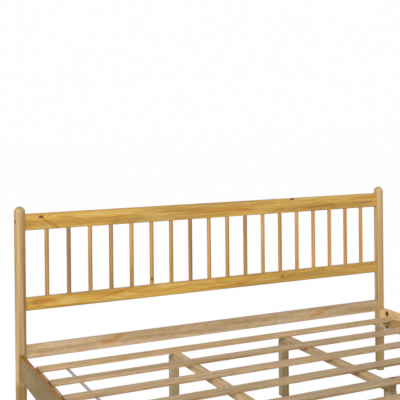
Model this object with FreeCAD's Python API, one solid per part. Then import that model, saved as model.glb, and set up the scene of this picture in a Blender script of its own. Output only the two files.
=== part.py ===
import FreeCAD, Part
import math
import os

# Spindle bed: a round-post headboard with turned dowel spindles, a low foot end,
# two bolted side rails with ledgers, and two slatted bases on their own legs.
# Frame: millimetres. The origin is on the floor at the middle of the bed's footprint.
# +X runs to the bed's right seen from the foot, +Y points from the foot to the head,
# and +Z points up. The pieces are drawn from the head posts' axis, which is y = 0
# until a piece is written, and "write" then moves them to the middle of the bed.

# ---- driving dimensions -------------------------------------------------------
post_spacing = 1996.0          # head posts, centre to centre
bed_length = 2100.0            # head post axis to foot post axis
post_diameter = 50.0
post_foot_diameter = 46.0      # the post tapers a little towards the floor
post_taper_height = 190.0
head_post_height = 1015.0
foot_post_height = 410.0
dome_height = 22.0             # rounded top of each post

rail_thickness = 22.0
top_rail_bottom = 906.0
top_rail_height = 74.0
mid_rail_bottom = 543.5
mid_rail_height = 59.0
low_rail_bottom = 327.0
low_rail_height = 60.5
rail_edge_radius = 3.0
tenon_thickness = 12.0
head_tenon_shoulder = 9.0      # each head rail steps in this much above and below its tenon
foot_tenon_shoulder = 30.0     # keeps the foot rail's tenon between the side rail bolts
tenon_depth = 30.0             # how far a tenon reaches into its post, past the post's face
glue_clearance = 0.15

spindle_count = 18
end_spindle_distance = 122.5   # post axis to the axis of the spindle beside it
spindle_diameter = 20.0
spindle_seat_depth = 16.0

side_rail_thickness = 22.0
side_rail_height = 104.0
side_rail_bottom = 241.5
side_rail_outset = 10.0        # the rail's outer face stands this far outside the post axis
side_rail_edge_radius = 2.0
flat_depth = 6.0               # depth of the milled flat on a post where a side rail butts
flat_headroom = 6.0            # the flat runs this far above and below the side rail

bolt_diameter = 8.0
bolt_clearance = 0.5
bolt_head_diameter = 17.0
bolt_head_height = 5.0
bolt_socket_width = 5.0
bolt_socket_depth = 3.0
counterbore_diameter = 20.0
counterbore_depth = 8.0
bolt_edge_distance = 20.0      # bolt axis to the rail's top or bottom edge
pocket_diameter = 26.0
pocket_end_distance = 62.0     # pocket centre to the rail's end
pocket_web = 3.0               # wood left between the pocket and the rail's outer face
nut_width = 13.0
nut_height = 6.5
washer_diameter = 15.0
washer_height = 1.5
bolt_past_nut = 3.0

slats_per_base = 5
slat_width = 61.0
slat_thickness = 12.0
slat_edge_radius = 1.5
slat_top = 318.4
first_slat_setback = 111.0     # head post axis to the first slat's back edge
base_gap = 114.0               # open space between the two bases at the bed's middle
slat_end_gap = 28.0            # slat end to the side rail's inner face

ledger_width = 42.0
ledger_height = 30.0
ledger_head_gap = 96.0         # head post axis to the ledger's end

beam_spacing = 604.0
beam_width = 32.0
beam_height = 30.0
beam_head_reach = 7.0          # the beam starts this far behind the first slat
beam_foot_setback = 9.0        # the beam ends this far short of the last slat's edge
leg_width = 38.0
leg_edge_radius = 1.0

strap_end_distance = 127.0     # webbing's centre line to the slats' ends
strap_width = 15.0
strap_thickness = 1.2
strap_inset = 6.0              # strap end to the outer edge of the end slat

screw_diameter = 4.0
screw_head_diameter = 8.0
screw_head_height = 2.6
screw_recess_diameter = 1.8
screw_recess_depth = 1.4
screw_clearance = 0.1
slat_screw_length = 35.0
ledger_screw_length = 50.0
ledger_screw_count = 7
ledger_screw_end_distance = 60.0
leg_screw_diameter = 6.0
leg_screw_head_diameter = 11.0
leg_screw_head_height = 3.6
leg_screw_length = 90.0
tack_diameter = 1.6
tack_head_diameter = 6.0
tack_head_height = 0.8
tack_length = 8.0

# ---- sizes that follow from the driving dimensions ---------------------------
post_radius = post_diameter / 2
half_spacing = post_spacing / 2
side_rail_outer = half_spacing + side_rail_outset
side_rail_inner = side_rail_outer - side_rail_thickness
side_rail_middle = side_rail_outer - side_rail_thickness / 2
side_rail_top = side_rail_bottom + side_rail_height
rail_end_inset = post_radius - flat_depth
side_rail_length = bed_length - 2 * rail_end_inset
bolt_heights = (
    side_rail_bottom + bolt_edge_distance,
    side_rail_top - bolt_edge_distance,
)
spindle_pitch = (post_spacing - 2 * end_spindle_distance) / (spindle_count - 1)
slat_bottom = slat_top - slat_thickness
slat_length = 2 * (side_rail_inner - slat_end_gap)
base_length = bed_length / 2 - first_slat_setback - base_gap / 2
slat_pitch = (base_length - slat_width) / (slats_per_base - 1)
strap_spacing = slat_length - 2 * strap_end_distance
beam_bottom = slat_bottom - beam_height
beam_length = base_length + beam_head_reach - beam_foot_setback
ledger_length = bed_length - 2 * ledger_head_gap
BED_MIDDLE = -bed_length / 2

UP = FreeCAD.Vector(0, 0, 1)
DOWN = FreeCAD.Vector(0, 0, -1)
ACROSS = FreeCAD.Vector(1, 0, 0)
ALONG = FreeCAD.Vector(0, 1, 0)
SIDES = (("left", -1), ("right", 1))


# ---- shape helpers -----------------------------------------------------------
def vector(x, y, z):
    return FreeCAD.Vector(x, y, z)


def block(low, high):
    """Box between two opposite corners."""
    size = high - low
    return Part.makeBox(size.x, size.y, size.z, low)


def cylinder(diameter, length, start, direction):
    return Part.makeCylinder(diameter / 2, length, start, direction)


def long_edges(shape, axis):
    """Straight edges of a shape that run along one axis."""
    chosen = []
    for edge in shape.Edges:
        if len(edge.Vertexes) != 2:
            continue
        run = edge.Vertexes[1].Point - edge.Vertexes[0].Point
        if abs(run.normalize().dot(axis)) > 0.999:
            chosen.append(edge)
    return chosen


def board(low, high, axis, edge_radius):
    """Planed board with its four long edges eased."""
    solid = block(low, high)
    return solid.makeFillet(edge_radius, long_edges(solid, axis))


def mirrored_to_foot(shape):
    """Copy of a shape mirrored about the bed's middle, from the head to the foot."""
    return shape.mirror(vector(0, BED_MIDDLE, 0), ALONG)


def group(solids):
    return Part.makeCompound(solids)


def write(name, shape):
    """Move a piece from the head posts' axis to the middle of the bed and store it."""
    placed = shape.translated(vector(0, -BED_MIDDLE, 0))
    placed.exportStep(os.path.join("parts", name + ".step"))


def countersunk_screw(head_top, direction, diameter, head_diameter, head_height, length):
    """Flat-head wood screw: a cone head with a square recess, a shank and a point."""
    point_length = diameter
    shank_length = length - head_height - point_length
    head = Part.makeCone(head_diameter / 2, diameter / 2, head_height, head_top, direction)
    shank_start = head_top + direction * head_height
    shank = cylinder(diameter, shank_length, shank_start, direction)
    point_start = shank_start + direction * shank_length
    point = Part.makeCone(diameter / 2, diameter / 10, point_length, point_start, direction)
    screw = head.fuse([shank, point]).removeSplitter()
    recess = cylinder(screw_recess_diameter, screw_recess_depth, head_top, direction)
    return screw.cut(recess)


def countersunk_hole(head_top, direction, diameter, head_diameter, head_height, length):
    """The space that a flat-head screw needs, a little larger all round."""
    wide = diameter + 2 * screw_clearance
    wide_head = head_diameter + 2 * screw_clearance
    head = Part.makeCone(wide_head / 2, wide / 2, head_height, head_top, direction)
    shank = cylinder(wide, length + screw_clearance, head_top, direction)
    return head.fuse(shank)


# ---- posts -------------------------------------------------------------------
def post_blank(x, y, height):
    """Turned post: slightly tapered foot, straight body and a rounded top."""
    shoulder = height - dome_height
    dome_radius = (post_radius ** 2 + dome_height ** 2) / (2 * dome_height)
    half_turn = math.asin(post_radius / dome_radius) / 2
    dome_middle = vector(dome_radius * math.sin(half_turn), 0,
                         height - dome_radius + dome_radius * math.cos(half_turn))
    foot_edge = vector(post_foot_diameter / 2, 0, 0)
    taper_top = vector(post_radius, 0, post_taper_height)
    shoulder_edge = vector(post_radius, 0, shoulder)
    top = vector(0, 0, height)
    outline = Part.Wire([
        Part.LineSegment(vector(0, 0, 0), foot_edge).toShape(),
        Part.LineSegment(foot_edge, taper_top).toShape(),
        Part.LineSegment(taper_top, shoulder_edge).toShape(),
        Part.Arc(shoulder_edge, dome_middle, top).toShape(),
        Part.LineSegment(top, vector(0, 0, 0)).toShape(),
    ])
    solid = Part.Face(outline).revolve(vector(0, 0, 0), UP, 360)
    solid.translate(vector(x, y, 0))
    return solid


def tenon_box(side, y, rail_bottom, rail_height, shoulder, gap):
    """Tenon of a cross rail inside the post on one side, grown by a gap all round."""
    face = half_spacing - post_radius
    start = face - post_radius / 2
    end = face + tenon_depth + gap
    low_x, high_x = sorted((side * start, side * end))
    half = tenon_thickness / 2 + gap
    low_z = rail_bottom + shoulder - gap
    high_z = rail_bottom + rail_height - shoulder + gap
    return block(vector(low_x, y - half, low_z), vector(high_x, y + half, high_z))


def side_rail_flat(side):
    """Flat milled on the front of a head post, where the side rail butts."""
    low_x, high_x = sorted((side * (half_spacing - post_radius),
                            side * (half_spacing + post_radius)))
    return block(
        vector(low_x, -post_diameter, side_rail_bottom - flat_headroom),
        vector(high_x, -rail_end_inset, side_rail_top + flat_headroom),
    )


def post_bolt_holes(side):
    """Clearance holes and counterbores for the rail bolts in a head post."""
    cuts = []
    for height in bolt_heights:
        start = vector(side * side_rail_middle, post_diameter, height)
        cuts.append(cylinder(bolt_diameter + bolt_clearance, 2 * post_diameter, start, -ALONG))
        seat_depth = post_diameter - post_radius + counterbore_depth
        cuts.append(cylinder(counterbore_diameter, seat_depth, start, -ALONG))
    return cuts


def make_head_post(side):
    post = post_blank(side * half_spacing, 0, head_post_height)
    cuts = [side_rail_flat(side)] + post_bolt_holes(side)
    for bottom, height in ((top_rail_bottom, top_rail_height),
                           (mid_rail_bottom, mid_rail_height),
                           (low_rail_bottom, low_rail_height)):
        cuts.append(tenon_box(side, 0, bottom, height, head_tenon_shoulder, glue_clearance))
    return post.cut(cuts)


def make_foot_post(side):
    post = post_blank(side * half_spacing, -bed_length, foot_post_height)
    cuts = [mirrored_to_foot(cut) for cut in [side_rail_flat(side)] + post_bolt_holes(side)]
    cuts.append(tenon_box(side, -bed_length, side_rail_bottom, side_rail_height,
                          foot_tenon_shoulder, glue_clearance))
    return post.cut(cuts)


# ---- head and foot rails with their spindles ---------------------------------
def make_cross_rail(y, bottom, height, shoulder):
    """Rail between two posts: ends coped to the round posts, with a tenon each end."""
    rail = board(
        vector(-half_spacing, y - rail_thickness / 2, bottom),
        vector(half_spacing, y + rail_thickness / 2, bottom + height),
        ACROSS, rail_edge_radius,
    )
    post_zones = [
        cylinder(post_diameter, height + 2, vector(side * half_spacing, y, bottom - 1), UP)
        for _, side in SIDES
    ]
    tenons = [tenon_box(side, y, bottom, height, shoulder, 0) for _, side in SIDES]
    return rail.cut(post_zones).fuse(tenons).removeSplitter()


def spindle_x(index):
    return (index - (spindle_count - 1) / 2) * spindle_pitch


def spindle_seats(rail_face, direction):
    """Blind holes for every spindle, sunk from one face of a rail."""
    diameter = spindle_diameter + 2 * glue_clearance
    depth = spindle_seat_depth + glue_clearance
    return [
        cylinder(diameter, depth, vector(spindle_x(index), 0, rail_face), direction)
        for index in range(spindle_count)
    ]


def make_top_rail():
    rail = make_cross_rail(0, top_rail_bottom, top_rail_height, head_tenon_shoulder)
    return rail.cut(spindle_seats(top_rail_bottom, UP))


def make_mid_rail():
    rail = make_cross_rail(0, mid_rail_bottom, mid_rail_height, head_tenon_shoulder)
    return rail.cut(spindle_seats(mid_rail_bottom + mid_rail_height, DOWN))


def make_low_rail():
    return make_cross_rail(0, low_rail_bottom, low_rail_height, head_tenon_shoulder)


def make_foot_rail():
    return make_cross_rail(-bed_length, side_rail_bottom, side_rail_height, foot_tenon_shoulder)


def make_spindle(index):
    start = mid_rail_bottom + mid_rail_height - spindle_seat_depth
    end = top_rail_bottom + spindle_seat_depth
    return cylinder(spindle_diameter, end - start, vector(spindle_x(index), 0, start), UP)


# ---- side rails and their bolts ----------------------------------------------
def side_rail_cuts(side):
    """Bolt holes and nut pockets at the head end of one side rail."""
    cuts = []
    for height in bolt_heights:
        end = vector(side * side_rail_middle, -rail_end_inset, height)
        cuts.append(cylinder(bolt_diameter + bolt_clearance, pocket_end_distance, end, -ALONG))
        mouth = vector(side * side_rail_inner, -rail_end_inset - pocket_end_distance, height)
        depth = side_rail_thickness - pocket_web
        cuts.append(cylinder(pocket_diameter, depth, mouth, ACROSS * side))
    return cuts


def ledger_screw_heads(side):
    """Head centres of the screws that hold one ledger to its side rail."""
    first = -ledger_head_gap - ledger_screw_end_distance
    step = (ledger_length - 2 * ledger_screw_end_distance) / (ledger_screw_count - 1)
    height = slat_bottom - ledger_height / 2
    inner_face = side * (side_rail_inner - ledger_width)
    return [vector(inner_face, first - index * step, height) for index in range(ledger_screw_count)]


def ledger_screw_holes(side):
    return [
        countersunk_hole(head, ACROSS * side, screw_diameter, screw_head_diameter,
                         screw_head_height, ledger_screw_length)
        for head in ledger_screw_heads(side)
    ]


def make_side_rail(side):
    low_x, high_x = sorted((side * side_rail_inner, side * side_rail_outer))
    rail = board(
        vector(low_x, -rail_end_inset - side_rail_length, side_rail_bottom),
        vector(high_x, -rail_end_inset, side_rail_top),
        ALONG, side_rail_edge_radius,
    )
    head_cuts = side_rail_cuts(side)
    foot_cuts = [mirrored_to_foot(cut) for cut in head_cuts]
    return rail.cut(head_cuts + foot_cuts + ledger_screw_holes(side))


def make_ledger(side):
    low_x, high_x = sorted((side * (side_rail_inner - ledger_width), side * side_rail_inner))
    ledger = block(
        vector(low_x, -ledger_head_gap - ledger_length, slat_bottom - ledger_height),
        vector(high_x, -ledger_head_gap, slat_bottom),
    )
    return ledger.cut(ledger_screw_holes(side))


def make_ledger_screws():
    return group([
        countersunk_screw(head, ACROSS * side, screw_diameter, screw_head_diameter,
                          screw_head_height, ledger_screw_length)
        for _, side in SIDES
        for head in ledger_screw_heads(side)
    ])


def nut_seat_y():
    """Where a washer bears: the bolt pocket's wall nearest the post."""
    reach = math.sqrt((pocket_diameter / 2) ** 2 - (washer_diameter / 2) ** 2)
    return -rail_end_inset - pocket_end_distance + reach


def at_every_bolt(make_one):
    """Copies of one bolt part at both heights, on both sides, at the head and the foot."""
    solids = []
    for _, side in SIDES:
        for height in bolt_heights:
            solid = make_one(side * side_rail_middle, height)
            solids.append(solid)
            solids.append(mirrored_to_foot(solid))
    return group(solids)


def make_bolt(x, height):
    """Barrel-headed bolt with a square key recess, seated in its counterbore."""
    seat = post_radius - counterbore_depth
    head = cylinder(bolt_head_diameter, bolt_head_height, vector(x, seat, height), ALONG)
    end = nut_seat_y() - washer_height - nut_height - bolt_past_nut
    shank = cylinder(bolt_diameter, seat - end, vector(x, end, height), ALONG)
    half = bolt_socket_width / 2
    socket_floor = seat + bolt_head_height - bolt_socket_depth
    socket = block(vector(x - half, socket_floor, height - half),
                   vector(x + half, seat + bolt_head_height, height + half))
    return head.fuse(shank).removeSplitter().cut(socket)


def make_nut(x, height):
    """Washer and hexagonal nut on the bolt's end, inside the rail's pocket."""
    washer = cylinder(washer_diameter, washer_height, vector(x, nut_seat_y(), height), -ALONG)
    face = nut_seat_y() - washer_height
    corner = nut_width / math.sqrt(3)
    points = [
        vector(x + corner * math.cos(math.radians(60 * turn)), face,
               height + corner * math.sin(math.radians(60 * turn)))
        for turn in range(7)
    ]
    nut = Part.Face(Part.makePolygon(points)).extrude(-ALONG * nut_height)
    bore = cylinder(bolt_diameter + 2 * screw_clearance, 2 * pocket_diameter,
                    vector(x, nut_seat_y() + pocket_diameter, height), -ALONG)
    return washer.fuse(nut).removeSplitter().cut(bore)


# ---- slatted bases -----------------------------------------------------------
def slat_middle_y(index):
    """Centre line of a slat in the head base, counted from the head."""
    return -first_slat_setback - slat_width / 2 - index * slat_pitch


def slat_screw_heads(index):
    return [vector(side * beam_spacing / 2, slat_middle_y(index), slat_top) for _, side in SIDES]


def slat_screw_holes(index):
    return [
        countersunk_hole(head, DOWN, screw_diameter, screw_head_diameter,
                         screw_head_height, slat_screw_length)
        for head in slat_screw_heads(index)
    ]


def tack_heads(index):
    """Where the webbing is tacked to a slat, under the slat."""
    low = slat_bottom - strap_thickness - tack_head_height
    return [vector(side * strap_spacing / 2, slat_middle_y(index), low) for _, side in SIDES]


def tack_holes(index):
    diameter = tack_diameter + 2 * screw_clearance
    return [cylinder(diameter, tack_length + screw_clearance, head, UP)
            for head in tack_heads(index)]


def make_slat(index):
    middle = slat_middle_y(index)
    slat = board(
        vector(-slat_length / 2, middle - slat_width / 2, slat_bottom),
        vector(slat_length / 2, middle + slat_width / 2, slat_top),
        ACROSS, slat_edge_radius,
    )
    return slat.cut(slat_screw_holes(index) + tack_holes(index))


def leg_middles_y():
    """Leg centre lines of the head base: flush with both ends of its beams."""
    head_end = -first_slat_setback + beam_head_reach
    return head_end - leg_width / 2, head_end - beam_length + leg_width / 2


def leg_screw_hole(x, y):
    """Stepped hole for the long screw that ties a leg to its beam."""
    sunk = leg_screw_sink()
    mouth = cylinder(leg_screw_head_diameter + 2 * screw_clearance, sunk,
                     vector(x, y, slat_bottom), DOWN)
    hole = countersunk_hole(vector(x, y, slat_bottom - sunk), DOWN, leg_screw_diameter,
                            leg_screw_head_diameter, leg_screw_head_height, leg_screw_length)
    return mouth.fuse(hole)


def leg_screw_sink():
    """Depth of a leg screw's head below the beam's top."""
    return screw_head_height


def leg_screw_x(side):
    """Leg screws stand clear of the slat screws, on the beam's inner half."""
    return side * (beam_spacing / 2 - beam_width / 4)


def make_beam(side):
    middle = side * beam_spacing / 2
    head_end = -first_slat_setback + beam_head_reach
    beam = block(
        vector(middle - beam_width / 2, head_end - beam_length, beam_bottom),
        vector(middle + beam_width / 2, head_end, slat_bottom),
    )
    cuts = [leg_screw_hole(leg_screw_x(side), y) for y in leg_middles_y()]
    for index in range(slats_per_base):
        cuts += slat_screw_holes(index)
    return beam.cut(cuts)


def make_leg(side, y):
    middle = side * beam_spacing / 2
    half = leg_width / 2
    leg = board(vector(middle - half, y - half, 0), vector(middle + half, y + half, beam_bottom),
                UP, leg_edge_radius)
    return leg.cut(leg_screw_hole(leg_screw_x(side), y))


def make_strap(side):
    """Woven webbing tacked along the undersides of one base's slats."""
    middle = side * strap_spacing / 2
    head_end = -first_slat_setback - strap_inset
    strap = block(
        vector(middle - strap_width / 2, head_end - base_length + 2 * strap_inset,
               slat_bottom - strap_thickness),
        vector(middle + strap_width / 2, head_end, slat_bottom),
    )
    cuts = []
    for index in range(slats_per_base):
        cuts += tack_holes(index)
    return strap.cut(cuts)


def with_foot_copies(solids):
    return group(solids + [mirrored_to_foot(solid) for solid in solids])


def make_slat_screws():
    return with_foot_copies([
        countersunk_screw(head, DOWN, screw_diameter, screw_head_diameter,
                          screw_head_height, slat_screw_length)
        for index in range(slats_per_base)
        for head in slat_screw_heads(index)
    ])


def make_leg_screws():
    height = slat_bottom - leg_screw_sink()
    return with_foot_copies([
        countersunk_screw(vector(leg_screw_x(side), y, height), DOWN, leg_screw_diameter,
                          leg_screw_head_diameter, leg_screw_head_height, leg_screw_length)
        for _, side in SIDES
        for y in leg_middles_y()
    ])


def make_tacks():
    tacks = []
    for index in range(slats_per_base):
        for head in tack_heads(index):
            cap = cylinder(tack_head_diameter, tack_head_height, head, UP)
            shank = cylinder(tack_diameter, tack_length, head, UP)
            tacks.append(cap.fuse(shank).removeSplitter())
    return with_foot_copies(tacks)


# ---- write every piece -------------------------------------------------------
def main():
    os.makedirs("parts", exist_ok=True)
    for name, side in SIDES:
        write("head_post_" + name, make_head_post(side))
        write("foot_post_" + name, make_foot_post(side))
        write("side_rail_" + name, make_side_rail(side))
        write("ledger_" + name, make_ledger(side))
        strap = make_strap(side)
        write("slat_strap_" + name, with_foot_copies([strap]))
        beam = make_beam(side)
        write("head_base_beam_" + name, beam)
        write("foot_base_beam_" + name, mirrored_to_foot(beam))
        for place, y in zip(("outer", "middle"), leg_middles_y()):
            leg = make_leg(side, y)
            write("head_base_leg_" + place + "_" + name, leg)
            write("foot_base_leg_" + place + "_" + name, mirrored_to_foot(leg))
    write("top_rail", make_top_rail())
    write("mid_rail", make_mid_rail())
    write("low_rail", make_low_rail())
    write("foot_rail", make_foot_rail())
    for index in range(spindle_count):
        write("spindle_%02d" % (index + 1), make_spindle(index))
    for index in range(slats_per_base):
        slat = make_slat(index)
        write("slat_%02d" % (index + 1), slat)
        write("slat_%02d" % (2 * slats_per_base - index), mirrored_to_foot(slat))
    write("rail_bolts", at_every_bolt(make_bolt))
    write("rail_nuts", at_every_bolt(make_nut))
    write("slat_screws", make_slat_screws())
    write("ledger_screws", make_ledger_screws())
    write("leg_screws", make_leg_screws())
    write("strap_tacks", make_tacks())


main()
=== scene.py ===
import math

import bmesh
import bpy
from mathutils import Matrix, Vector


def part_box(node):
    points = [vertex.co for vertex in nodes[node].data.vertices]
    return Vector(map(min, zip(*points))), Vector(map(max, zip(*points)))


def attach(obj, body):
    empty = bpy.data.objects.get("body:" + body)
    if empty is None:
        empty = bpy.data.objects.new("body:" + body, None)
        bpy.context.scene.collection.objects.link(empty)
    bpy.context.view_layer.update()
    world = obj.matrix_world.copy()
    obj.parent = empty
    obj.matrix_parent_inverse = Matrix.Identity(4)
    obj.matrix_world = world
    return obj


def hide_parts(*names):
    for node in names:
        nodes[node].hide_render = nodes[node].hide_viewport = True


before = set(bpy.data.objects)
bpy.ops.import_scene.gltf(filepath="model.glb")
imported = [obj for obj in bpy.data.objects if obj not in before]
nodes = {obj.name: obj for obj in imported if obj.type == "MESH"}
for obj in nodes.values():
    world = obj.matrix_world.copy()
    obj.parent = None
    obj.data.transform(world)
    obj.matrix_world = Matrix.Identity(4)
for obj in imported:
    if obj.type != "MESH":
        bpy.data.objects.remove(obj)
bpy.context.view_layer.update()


# ---- round posts -----------------------------------------------------------
# Four turned pine posts with rounded tops, two tall ones at the head and two
# low ones at the foot. Each is milled flat where a side rail butts, mortised
# for the cross rails and finished in clear amber lacquer.

class Wire:
    """A shader socket that takes part in sums; every sum adds a Math node."""

    def __init__(self, socket):
        self.socket = socket
        self.tree = socket.id_data

    def node(self, kind, settings=None, inputs=None, output=0):
        """Add a node: settings first, then the values or links of its sockets."""
        return add_node(self.tree, kind, settings, inputs, output)

    def math(self, operation, *others):
        values = {0: self}
        values.update({index + 1: other for index, other in enumerate(others)})
        return self.node("ShaderNodeMath", {"operation": operation}, values)

    def __add__(self, other):
        return self.math("ADD", other)

    def __radd__(self, other):
        return self.math("ADD", other)

    def __sub__(self, other):
        return self.math("SUBTRACT", other)

    def __rsub__(self, other):
        return (self * -1) + other

    def __mul__(self, other):
        return self.math("MULTIPLY", other)

    def __rmul__(self, other):
        return self.math("MULTIPLY", other)

    def __truediv__(self, other):
        return self.math("DIVIDE", other)

    def __pow__(self, other):
        return self.math("POWER", other)

    def __abs__(self):
        return self.math("ABSOLUTE")

    def parts(self):
        """The three values of a vector."""
        split = self.node("ShaderNodeSeparateXYZ", None, {0: self}).socket.node
        return [Wire(output) for output in split.outputs]

    def ramp(self, low, high, start=0.0, end=1.0):
        """Smooth step from start to end while the value goes from low to high."""
        return self.node("ShaderNodeMapRange", {"interpolation_type": "SMOOTHSTEP"},
                         {"Value": self, "From Min": low, "From Max": high,
                          "To Min": start, "To Max": end})

    def blend(self, low_colour, high_colour):
        """Colour between two colours or links, with this value as the share."""
        return self.node("ShaderNodeMix", {"data_type": "RGBA"},
                         {0: self, 6: low_colour, 7: high_colour}, output=2)

    def times_colour(self, colour, share):
        """This colour multiplied by another, as far as the share says."""
        return self.node("ShaderNodeMix", {"data_type": "RGBA", "blend_type": "MULTIPLY"},
                         {0: share, 6: self, 7: colour}, output=2)


def add_node(tree, kind, settings=None, inputs=None, output=0):
    node = tree.nodes.new(kind)
    for name, value in (settings or {}).items():
        setattr(node, name, value)
    for name, value in (inputs or {}).items():
        socket = node.inputs[name]
        if isinstance(value, Wire):
            tree.links.new(value.socket, socket)
        elif isinstance(value, tuple) and len(value) == 3 and socket.type == "RGBA":
            socket.default_value = (*value, 1.0)
        else:
            socket.default_value = value
    return Wire(node.outputs[output])


def new_finish(name):
    """Empty material with a Principled shader; returns the material and its shader."""
    finish = bpy.data.materials.new(name)
    finish.use_nodes = True
    return finish, finish.node_tree.nodes["Principled BSDF"]


def object_place(tree):
    """Where a point of the surface lies, in the object's own metres."""
    return add_node(tree, "ShaderNodeTexCoord", output=3)


def tiny_noise(position, scale, detail=2.0, roughness=0.5):
    """Noise value between 0 and 1 at a position."""
    return position.node("ShaderNodeTexNoise", {"noise_dimensions": "3D"},
                         {"Vector": position, "Scale": scale, "Detail": detail,
                          "Roughness": roughness})


def joined(x, y, z):
    """Vector of three values, at least one of them a Wire."""
    wire = next(value for value in (x, y, z) if isinstance(value, Wire))
    return wire.node("ShaderNodeCombineXYZ", None, {0: x, 1: y, 2: z})


def soft_patch(along, across, spot):
    """Oval patch, 1 in its middle, from (along, across, length, width, lean)."""
    spot_along, spot_across, length, width, lean = spot
    gap_along = along - spot_along
    gap_across = across - spot_across - gap_along * lean
    squared = (gap_along * (1.0 / length)) ** 2 + (gap_across * (1.0 / width)) ** 2
    return (squared * -1.0).math("EXPONENT")


def strongest(found, value):
    """The larger of two values, or the second where there is no first one yet."""
    return value if found is None else found.math("MAXIMUM", value)


# Patterns in the wood: changes per metre along the grain and across it, and those
# of finer ones that are alike in all directions.
BAND_ALONG = 1.6
FINE_LINES = (2.6, 190.0)
FIBRES = (9.0, 620.0)
RESIN_STREAKS = (14.0, 900.0)
CLOUDS = (26.0, 60.0)
TORN_TONGUES = (22.0, 110.0)
UNEVEN_RINGS = (3.0, 30.0)
HEART_DRIFT = 1.7
KNOT_OUTLINE = 160.0
KNOT_GRAIN = 260.0
WEAR_PATCHES = 45.0

# What the wood's colour is multiplied by, at a pattern's dark and light places.
BAND_TINTS = ((0.78, 0.71, 0.60), (1.17, 1.16, 1.16))
LINE_TINTS = ((0.88, 0.84, 0.78), (1.09, 1.09, 1.10))
FIBRE_TINTS = ((0.90, 0.87, 0.83), (1.07, 1.06, 1.05))
CLOUD_TINTS = ((0.80, 0.74, 0.69), (1.10, 1.12, 1.15))
RESIN = (0.62, 0.50, 0.38)
SAPWOOD = (1.07, 1.18, 1.75)
SAWN_END = (0.66, 0.56, 0.46)
# Painted shade for the walls of holes.
POCKET_SHADE = (0.52, 0.34, 0.16)
# Painted shade along the long edges.
EDGE_SHADE = (0.80, 0.72, 0.60)
KNOT_COLOURS = ((0.100, 0.026, 0.008), (0.230, 0.075, 0.020))

# Where in each ring the late wood sets in, and where it ends.
LATE_WOOD = (0.30, 0.88)
RING_END = (0.93, 1.0)
RING_UNEVENNESS = 1.6

# Shares of a knot's radius, of a ring's width and of a hole's radius.
KNOT_SLIMNESS = 0.55
KNOT_REACH = 3.2
KNOT_PUSH = 1.5
KNOT_RIM = 1.45
KNOT_RAGGEDNESS = 0.5
FLAME_PUSH = 1.7
BORE_RIM = 1.16

# Metres: skin left over a hole, the band beside an edge that takes rubbed wear
# and painted shade, and height of the grain.
BORE_SKIN = (0.002, 0.003)
EDGE_WEAR_AND_SHADE = (0.0045, 0.0005)
GRAIN_RELIEF = 0.0006

GRAIN_BUMP = 0.22
TONGUE_TEAR = 0.9
COAT_ROUGHNESS = 0.22
BARE_SPECULAR = 0.25


def round_knot(place, along, first, second, knot):
    """How far a knot pushes the rings aside, and the share of its own wood."""
    knot_along, knot_first, knot_second, size = knot
    gap_along = (along - knot_along) * KNOT_SLIMNESS
    gap_one = first - knot_first
    gap_two = second - knot_second
    squared = gap_along * gap_along + gap_one * gap_one + gap_two * gap_two
    push = (squared * (-1.0 / (size * KNOT_REACH) ** 2)).math("EXPONENT")
    ragged = tiny_noise(place, KNOT_OUTLINE) * (size * KNOT_RAGGEDNESS)
    core = (squared ** 0.5 + ragged).ramp(size, size * KNOT_RIM, 1.0, 0.0)
    return push * (size * KNOT_PUSH), core


def inside_bore(along, first, second, bore):
    """Share of the walls of a hole, up to the skin that it stops short of."""
    bore_along, bore_second, size, skin = bore
    gap_along = along - bore_along
    gap_two = second - bore_second
    distance = (gap_along * gap_along + gap_two * gap_two) ** 0.5
    inside = distance.ramp(size, size * BORE_RIM, 1.0, 0.0)
    return inside * abs(first - skin).ramp(*BORE_SKIN)


def edge_wear_and_shade(place, axes, crosswise, box):
    """Share of a patchy band along a sawn piece's long edges: rubbed wear and painted shade."""
    low, high = box
    ridge = 1.0
    for index in crosswise:
        half = (high[index] - low[index]) / 2
        reach = abs(axes[index] - (high[index] + low[index]) / 2)
        ridge = reach.ramp(half - EDGE_WEAR_AND_SHADE[0], half - EDGE_WEAR_AND_SHADE[1]) * ridge
    return ridge * tiny_noise(place, WEAR_PATCHES, 3.0).ramp(0.30, 0.60)


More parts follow.
